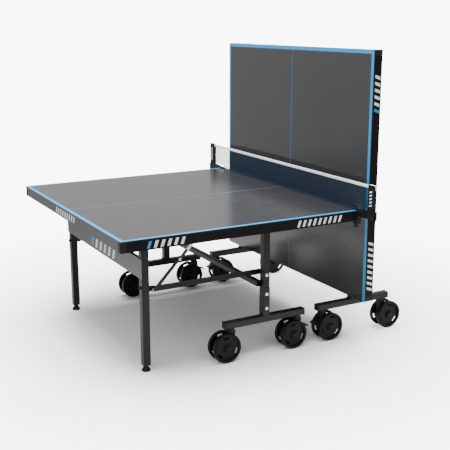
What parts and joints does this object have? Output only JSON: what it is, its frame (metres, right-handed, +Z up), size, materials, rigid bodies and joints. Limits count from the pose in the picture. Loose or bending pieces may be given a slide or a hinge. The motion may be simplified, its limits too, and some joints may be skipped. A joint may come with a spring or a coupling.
{
  "type": "folding ping pong table",
  "caption": "Folding ping pong table on casters: one framed half lies flat on legs, the other stands folded upright on its carriage, with a net and posts between them.",
  "frame": {"origin": "centre of the footprint's bounding box, on the floor", "axes": "+X along the table from the flat half to the upright half, +Y across the table, +Z up"},
  "size_m": [1.778, 1.818, 1.601],
  "materials": {
    "playing_surface": "charcoal laminate with printed blue and white lines, low sheen",
    "edge_frame": "black powder coat",
    "frame_steel": "dark charcoal powder coat",
    "panel_steel": "grey powder coat",
    "dark_steel": "black paint",
    "bright_steel": "zinc plated",
    "black_plastic": "moulded, fine grain",
    "wheel_plastic": "moulded with a soft tread",
    "foot_rubber": "moulded rubber",
    "net_mesh": "knotless navy netting",
    "white_tape": "white woven tape"
  },
  "bodies": {
    "flat_carriage": {"flat_uprights": "frame_steel", "flat_cross_tubes": "frame_steel", "flat_rails": "frame_steel", "flat_rail_caps": "black_plastic"},
    "flat_top": {"flat_board": "playing_surface", "flat_sides": "edge_frame", "flat_end_rail": "edge_frame", "flat_net_rail": "edge_frame", "flat_underframe": "frame_steel", "flat_corners": "black_plastic", "net_clamps": "dark_steel"},
    "flat_leg_frame": {"flat_legs": "frame_steel", "flat_leg_panel": "panel_steel"},
    "flat_link_pair": {"flat_links": "frame_steel"},
    "flat_low_stay_pair": {"flat_stays_low": "dark_steel"},
    "flat_up_stay_pair": {"flat_stays_up": "bright_steel"},
    "flat_foot_near_body": {"flat_foot_near": "foot_rubber"},
    "flat_foot_far_body": {"flat_foot_far": "foot_rubber"},
    "flat_caster_in_near": {"flat_fork_in_near": "black_plastic"},
    "flat_wheel_pair_in_near": {"flat_wheels_in_near": "wheel_plastic"},
    "flat_caster_in_far": {"flat_fork_in_far": "black_plastic"},
    "flat_wheel_pair_in_far": {"flat_wheels_in_far": "wheel_plastic"},
    "flat_caster_out_near": {"flat_fork_out_near": "black_plastic"},
    "flat_wheel_pair_out_near": {"flat_wheels_out_near": "wheel_plastic"},
    "flat_caster_out_far": {"flat_fork_out_far": "black_plastic"},
    "flat_wheel_pair_out_far": {"flat_wheels_out_far": "wheel_plastic"},
    "flat_brake_near_lever": {"flat_brake_near": "black_plastic"},
    "flat_brake_far_lever": {"flat_brake_far": "black_plastic"},
    "up_carriage": {"up_uprights": "frame_steel", "up_cross_tubes": "frame_steel", "up_rails": "frame_steel", "up_rail_caps": "black_plastic"},
    "up_top": {"up_board": "playing_surface", "up_sides": "edge_frame", "up_end_rail": "edge_frame", "up_net_rail": "edge_frame", "up_underframe": "frame_steel", "up_corners": "black_plastic"},
    "up_leg_frame": {"up_legs": "frame_steel", "up_leg_panel": "panel_steel"},
    "up_link_pair": {"up_links": "frame_steel"},
    "up_low_stay_pair": {"up_stays_low": "dark_steel"},
    "up_up_stay_pair": {"up_stays_up": "bright_steel"},
    "up_foot_near_body": {"up_foot_near": "foot_rubber"},
    "up_foot_far_body": {"up_foot_far": "foot_rubber"},
    "up_caster_in_near": {"up_fork_in_near": "black_plastic"},
    "up_wheel_pair_in_near": {"up_wheels_in_near": "wheel_plastic"},
    "up_caster_in_far": {"up_fork_in_far": "black_plastic"},
    "up_wheel_pair_in_far": {"up_wheels_in_far": "wheel_plastic"},
    "up_caster_out_near": {"up_fork_out_near": "black_plastic"},
    "up_wheel_pair_out_near": {"up_wheels_out_near": "wheel_plastic"},
    "up_caster_out_far": {"up_fork_out_far": "black_plastic"},
    "up_wheel_pair_out_far": {"up_wheels_out_far": "wheel_plastic"},
    "up_brake_near_lever": {"up_brake_near": "black_plastic"},
    "up_brake_far_lever": {"up_brake_far": "black_plastic"},
    "net_set": {"net": "net_mesh", "net_tape": "white_tape", "net_posts": "black_plastic"},
    "net_screw_near_body": {"net_screw_near": "dark_steel"},
    "net_screw_far_body": {"net_screw_far": "dark_steel"}
  },
  "joints": [
    {"name": "up_half_roll", "type": "slide", "parent": "flat_carriage", "child": "up_carriage", "axis": [1, 0, 0], "range_m": [0, 0.5]},
    {"name": "flat_fold", "type": "hinge", "parent": "flat_carriage", "child": "flat_top", "pos_m": [-0.022, 0, 0.734], "axis": [0, 1, 0], "range_deg": [0, 90]},
    {"name": "flat_leg_hinge", "type": "hinge", "parent": "flat_top", "child": "flat_leg_frame", "pos_m": [-0.638, 0, 0.734], "axis": [0, 1, 0], "range_deg": [-90.5, 0.5]},
    {"name": "flat_link_hinge", "type": "hinge", "parent": "flat_carriage", "child": "flat_link_pair", "pos_m": [-0.022, 0, 0.44], "axis": [0, 1, 0], "range_deg": [-0.5, 90.5]},
    {"name": "flat_low_stay_hinge", "type": "hinge", "parent": "flat_leg_frame", "child": "flat_low_stay_pair", "pos_m": [-0.638, 0, 0.44], "axis": [0, 1, 0], "range_deg": [-0.5, 136.9]},
    {"name": "flat_up_stay_hinge", "type": "hinge", "parent": "flat_top", "child": "flat_up_stay_pair", "pos_m": [-0.358, 0, 0.734], "axis": [0, 1, 0], "range_deg": [-134.1, 0.5]},
    {"name": "flat_foot_near_thread", "type": "slide", "parent": "flat_leg_frame", "child": "flat_foot_near_body", "axis": [0, 0, 1], "range_m": [-0.012, 0.0045]},
    {"name": "flat_foot_far_thread", "type": "slide", "parent": "flat_leg_frame", "child": "flat_foot_far_body", "axis": [0, 0, 1], "range_m": [-0.012, 0.0045]},
    {"name": "flat_swivel_in_near", "type": "hinge", "parent": "flat_carriage", "child": "flat_caster_in_near", "pos_m": [0.186, -0.62, 0.178], "axis": [0, 0, 1], "range_deg": [-100, 100]},
    {"name": "flat_roll_in_near", "type": "hinge", "parent": "flat_caster_in_near", "child": "flat_wheel_pair_in_near", "pos_m": [0.149, -0.62, 0.08], "axis": [0, 1, 0], "continuous": true},
    {"name": "flat_swivel_in_far", "type": "hinge", "parent": "flat_carriage", "child": "flat_caster_in_far", "pos_m": [0.186, 0.62, 0.178], "axis": [0, 0, 1], "range_deg": [-100, 100]},
    {"name": "flat_roll_in_far", "type": "hinge", "parent": "flat_caster_in_far", "child": "flat_wheel_pair_in_far", "pos_m": [0.149, 0.62, 0.08], "axis": [0, 1, 0], "continuous": true},
    {"name": "flat_swivel_out_near", "type": "hinge", "parent": "flat_carriage", "child": "flat_caster_out_near", "pos_m": [-0.23, -0.62, 0.178], "axis": [0, 0, 1], "continuous": true},
    {"name": "flat_roll_out_near", "type": "hinge", "parent": "flat_caster_out_near", "child": "flat_wheel_pair_out_near", "pos_m": [-0.267, -0.62, 0.08], "axis": [0, 1, 0], "continuous": true},
    {"name": "flat_swivel_out_far", "type": "hinge", "parent": "flat_carriage", "child": "flat_caster_out_far", "pos_m": [-0.23, 0.62, 0.178], "axis": [0, 0, 1], "continuous": true},
    {"name": "flat_roll_out_far", "type": "hinge", "parent": "flat_caster_out_far", "child": "flat_wheel_pair_out_far", "pos_m": [-0.267, 0.62, 0.08], "axis": [0, 1, 0], "continuous": true},
    {"name": "flat_brake_near_pivot", "type": "hinge", "parent": "flat_caster_in_near", "child": "flat_brake_near_lever", "pos_m": [0.203, -0.62, 0.12], "axis": [0, 1, 0], "range_deg": [-12, 12]},
    {"name": "flat_brake_far_pivot", "type": "hinge", "parent": "flat_caster_in_far", "child": "flat_brake_far_lever", "pos_m": [0.203, 0.62, 0.12], "axis": [0, 1, 0], "range_deg": [-12, 12]},
    {"name": "up_fold", "type": "hinge", "parent": "up_carriage", "child": "up_top", "pos_m": [0.564, 0, 0.734], "axis": [0, 1, 0], "range_deg": [0, 90]},
    {"name": "up_leg_hinge", "type": "hinge", "parent": "up_top", "child": "up_leg_frame", "pos_m": [0.564, 0, 1.35], "axis": [0, 1, 0], "range_deg": [-90.5, 0.5]},
    {"name": "up_link_hinge", "type": "hinge", "parent": "up_carriage", "child": "up_link_pair", "pos_m": [0.564, 0, 0.44], "axis": [0, 1, 0], "range_deg": [-0.5, 90.5]},
    {"name": "up_low_stay_hinge", "type": "hinge", "parent": "up_leg_frame", "child": "up_low_stay_pair", "pos_m": [0.564, 0, 1.056], "axis": [0, 1, 0], "range_deg": [-0.5, 136.9]},
    {"name": "up_up_stay_hinge", "type": "hinge", "parent": "up_top", "child": "up_up_stay_pair", "pos_m": [0.564, 0, 1.07], "axis": [0, 1, 0], "range_deg": [-134.1, 0.5]},
    {"name": "up_foot_near_thread", "type": "slide", "parent": "up_leg_frame", "child": "up_foot_near_body", "axis": [0, 0, 1], "range_m": [-0.012, 0.0045]},
    {"name": "up_foot_far_thread", "type": "slide", "parent": "up_leg_frame", "child": "up_foot_far_body", "axis": [0, 0, 1], "range_m": [-0.012, 0.0045]},
    {"name": "up_swivel_in_near", "type": "hinge", "parent": "up_carriage", "child": "up_caster_in_near", "pos_m": [0.356, -0.62, 0.178], "axis": [0, 0, 1], "range_deg": [-100, 100]},
    {"name": "up_roll_in_near", "type": "hinge", "parent": "up_caster_in_near", "child": "up_wheel_pair_in_near", "pos_m": [0.393, -0.62, 0.08], "axis": [0, 1, 0], "continuous": true},
    {"name": "up_swivel_in_far", "type": "hinge", "parent": "up_carriage", "child": "up_caster_in_far", "pos_m": [0.356, 0.62, 0.178], "axis": [0, 0, 1], "range_deg": [-100, 100]},
    {"name": "up_roll_in_far", "type": "hinge", "parent": "up_caster_in_far", "child": "up_wheel_pair_in_far", "pos_m": [0.393, 0.62, 0.08], "axis": [0, 1, 0], "continuous": true},
    {"name": "up_swivel_out_near", "type": "hinge", "parent": "up_carriage", "child": "up_caster_out_near", "pos_m": [0.772, -0.62, 0.178], "axis": [0, 0, 1], "continuous": true},
    {"name": "up_roll_out_near", "type": "hinge", "parent": "up_caster_out_near", "child": "up_wheel_pair_out_near", "pos_m": [0.809, -0.62, 0.08], "axis": [0, 1, 0], "continuous": true},
    {"name": "up_swivel_out_far", "type": "hinge", "parent": "up_carriage", "child": "up_caster_out_far", "pos_m": [0.772, 0.62, 0.178], "axis": [0, 0, 1], "continuous": true},
    {"name": "up_roll_out_far", "type": "hinge", "parent": "up_caster_out_far", "child": "up_wheel_pair_out_far", "pos_m": [0.809, 0.62, 0.08], "axis": [0, 1, 0], "continuous": true},
    {"name": "up_brake_near_pivot", "type": "hinge", "parent": "up_caster_in_near", "child": "up_brake_near_lever", "pos_m": [0.339, -0.62, 0.12], "axis": [0, 1, 0], "range_deg": [-12, 12]},
    {"name": "up_brake_far_pivot", "type": "hinge", "parent": "up_caster_in_far", "child": "up_brake_far_lever", "pos_m": [0.339, 0.62, 0.12], "axis": [0, 1, 0], "range_deg": [-12, 12]},
    {"name": "net_lift", "type": "slide", "parent": "flat_top", "child": "net_set", "axis": [0, 0, 1], "range_m": [0, 0.034]},
    {"name": "net_screw_near_thread", "type": "slide", "parent": "flat_top", "child": "net_screw_near_body", "axis": [0, 0, 1], "range_m": [-0.007, 0]},
    {"name": "net_screw_far_thread", "type": "slide", "parent": "flat_top", "child": "net_screw_far_body", "axis": [0, 0, 1], "range_m": [-0.007, 0]}
  ],
  "couplings": [
    {"joint": "flat_leg_hinge", "follows": "flat_fold", "ratio": -1},
    {"joint": "flat_link_hinge", "follows": "flat_fold", "ratio": 1},
    {"joint": "flat_low_stay_hinge", "follows": "flat_fold", "ratio": 1.5155},
    {"joint": "flat_up_stay_hinge", "follows": "flat_fold", "ratio": -1.4845},
    {"joint": "up_leg_hinge", "follows": "up_fold", "ratio": -1},
    {"joint": "up_link_hinge", "follows": "up_fold", "ratio": 1},
    {"joint": "up_low_stay_hinge", "follows": "up_fold", "ratio": 1.5155},
    {"joint": "up_up_stay_hinge", "follows": "up_fold", "ratio": -1.4845},
    {"joint": "up_half_roll", "follows": "up_fold", "m_per_rad": 0.31831}
  ]
}
